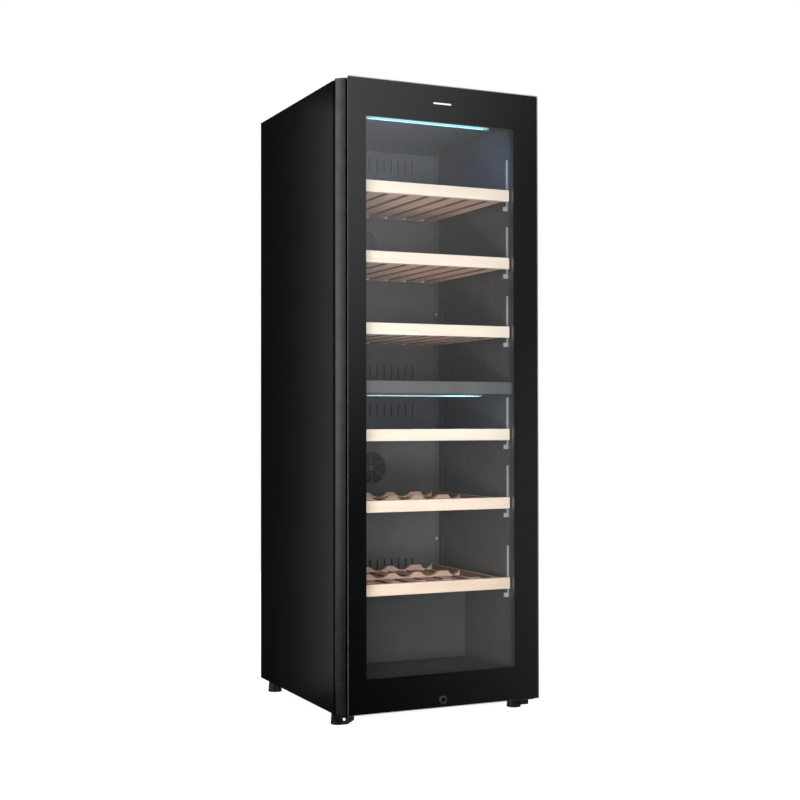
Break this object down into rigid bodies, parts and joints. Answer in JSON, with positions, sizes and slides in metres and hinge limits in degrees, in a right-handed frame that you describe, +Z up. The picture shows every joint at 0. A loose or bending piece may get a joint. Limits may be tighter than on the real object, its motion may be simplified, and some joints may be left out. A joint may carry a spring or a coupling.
{
  "type": "wine cooler",
  "caption": "Tall free-standing dual-zone wine cooler with a full-height glass door, edge grip, lock, lit cavity and pull-out wooden bottle shelves.",
  "frame": {"origin": "on the floor under the middle of the whole appliance's box", "axes": "+X to the right of someone facing the door, +Y to the back, +Z up"},
  "size_m": [0.595, 0.6562, 1.715],
  "materials": {
    "housing_black": "satin black powder coat",
    "rear_sheet": "matt black paint",
    "zinc_sheet": "galvanised, dull",
    "foam": "rigid polyurethane foam, porous",
    "liner_grey": "fine-grained dark grey",
    "divider_grey": "fine-grained mid grey",
    "panel_gloss": "polished black touch panel",
    "light_housing": "fine-grained",
    "light_lens": "translucent, lit cyan",
    "duct_grey": "fine-grained dark grey",
    "fan_black": "moulded",
    "evaporator_aluminium": "bare",
    "bracket_grey": "moulded light grey",
    "rail_steel": "rolled, oiled",
    "compressor_black": "gloss black",
    "rubber_black": "matt",
    "tray_plastic": "moulded",
    "condenser_black": "dipped",
    "inlet_plastic": "moulded",
    "hinge_black": "satin black",
    "screw_steel": "zinc plated",
    "foot_black": "moulded",
    "glass_clear": "clear toughened glass",
    "spacer_aluminium": "black anodised",
    "frame_black": "fine-grained",
    "handle_black": "black anodised, satin",
    "gasket_black": "soft, matt",
    "lock_metal": "dark nickel",
    "bush_white": "self-lubricating",
    "beech_fascia": "sanded pale beech",
    "beech_slats": "planed beech"
  },
  "bodies": {
    "cabinet": {"outer_shell": "housing_black", "rear_panel": "rear_sheet", "base_pan": "zinc_sheet", "insulation_foam": "foam", "inner_liner": "liner_grey", "zone_divider": "divider_grey", "control_panel": "panel_gloss", "light_housings": "light_housing", "light_diffusers": "light_lens", "duct_covers": "duct_grey", "fan_frames": "fan_black", "evaporators": "evaporator_aluminium", "shelf_brackets": "bracket_grey", "fixed_rails": "rail_steel", "compressor": "compressor_black", "compressor_grommets": "rubber_black", "drip_tray": "tray_plastic", "condenser_coil": "condenser_black", "condenser_fan_frame": "fan_black", "machine_cover": "rear_sheet", "power_inlet": "inlet_plastic", "top_hinge": "hinge_black", "bottom_brackets": "hinge_black", "lock_strike": "hinge_black", "rear_spacers": "rubber_black", "rear_screws": "screw_steel"},
    "upper_fan": {"upper_fan_rotor": "fan_black"},
    "lower_fan": {"lower_fan_rotor": "fan_black"},
    "condenser_fan": {"condenser_fan_rotor": "fan_black"},
    "foot_front_left": {"foot_front_left": "foot_black"},
    "foot_front_right": {"foot_front_right": "foot_black"},
    "foot_rear_left": {"foot_rear_left": "foot_black"},
    "foot_rear_right": {"foot_rear_right": "foot_black"},
    "door": {"door_glass_outer": "glass_clear", "door_glass_inner": "glass_clear", "glazing_spacer": "spacer_aluminium", "door_frame": "frame_black", "handle_profile": "handle_black", "door_gasket": "gasket_black", "lock_housing": "lock_metal", "hinge_bushes": "bush_white"},
    "door_lock": {"lock_plug": "lock_metal"},
    "shelf_1": {"shelf_1_front": "beech_fascia", "shelf_1_rack": "beech_slats", "shelf_1_runners": "rail_steel"},
    "shelf_2": {"shelf_2_front": "beech_fascia", "shelf_2_rack": "beech_slats", "shelf_2_runners": "rail_steel"},
    "shelf_3": {"shelf_3_front": "beech_fascia", "shelf_3_rack": "beech_slats", "shelf_3_runners": "rail_steel"},
    "shelf_4": {"shelf_4_front": "beech_fascia", "shelf_4_rack": "beech_slats", "shelf_4_runners": "rail_steel"},
    "shelf_5": {"shelf_5_front": "beech_fascia", "shelf_5_rack": "beech_slats", "shelf_5_runners": "rail_steel"},
    "shelf_6": {"shelf_6_front": "beech_fascia", "shelf_6_rack": "beech_slats", "shelf_6_runners": "rail_steel"}
  },
  "joints": [
    {"name": "door_hinge", "type": "hinge", "parent": "cabinet", "child": "door", "pos_m": [0.2855, -0.3019, 0.875], "axis": [0, 0, 1], "range_deg": [0, 125]},
    {"name": "lock_turn", "type": "hinge", "parent": "door", "child": "door_lock", "pos_m": [0, -0.3269, 0.057], "axis": [0, 1, 0], "range_deg": [0, 90]},
    {"name": "shelf_1_slide", "type": "slide", "parent": "cabinet", "child": "shelf_1", "axis": [0, -1, 0], "range_m": [0, 0.155]},
    {"name": "shelf_2_slide", "type": "slide", "parent": "cabinet", "child": "shelf_2", "axis": [0, -1, 0], "range_m": [0, 0.155]},
    {"name": "shelf_3_slide", "type": "slide", "parent": "cabinet", "child": "shelf_3", "axis": [0, -1, 0], "range_m": [0, 0.155]},
    {"name": "shelf_4_slide", "type": "slide", "parent": "cabinet", "child": "shelf_4", "axis": [0, -1, 0], "range_m": [0, 0.155]},
    {"name": "shelf_5_slide", "type": "slide", "parent": "cabinet", "child": "shelf_5", "axis": [0, -1, 0], "range_m": [0, 0.155]},
    {"name": "shelf_6_slide", "type": "slide", "parent": "cabinet", "child": "shelf_6", "axis": [0, -1, 0], "range_m": [0, 0.155]},
    {"name": "upper_fan_spin", "type": "hinge", "parent": "cabinet", "child": "upper_fan", "pos_m": [0, 0.2351, 1.346], "axis": [0, 1, 0], "continuous": true},
    {"name": "lower_fan_spin", "type": "hinge", "parent": "cabinet", "child": "lower_fan", "pos_m": [0.029, 0.2351, 0.664], "axis": [0, 1, 0], "continuous": true},
    {"name": "condenser_fan_spin", "type": "hinge", "parent": "cabinet", "child": "condenser_fan", "pos_m": [-0.155, 0.2041, 0.15], "axis": [0, 1, 0], "continuous": true},
    {"name": "foot_front_left_screw", "type": "slide", "parent": "cabinet", "child": "foot_front_left", "axis": [0, 0, -1], "range_m": [0, 0.012]},
    {"name": "foot_front_right_screw", "type": "slide", "parent": "cabinet", "child": "foot_front_right", "axis": [0, 0, -1], "range_m": [0, 0.012]},
    {"name": "foot_rear_left_screw", "type": "slide", "parent": "cabinet", "child": "foot_rear_left", "axis": [0, 0, -1], "range_m": [0, 0.012]},
    {"name": "foot_rear_right_screw", "type": "slide", "parent": "cabinet", "child": "foot_rear_right", "axis": [0, 0, -1], "range_m": [0, 0.012]}
  ],
  "couplings": [
    {"joint": "shelf_1_slide", "follows": "door_hinge", "m_per_rad": 0.071},
    {"joint": "shelf_2_slide", "follows": "door_hinge", "m_per_rad": 0.071},
    {"joint": "shelf_3_slide", "follows": "door_hinge", "m_per_rad": 0.071},
    {"joint": "shelf_4_slide", "follows": "door_hinge", "m_per_rad": 0.071},
    {"joint": "shelf_5_slide", "follows": "door_hinge", "m_per_rad": 0.071},
    {"joint": "shelf_6_slide", "follows": "door_hinge", "m_per_rad": 0.071}
  ]
}
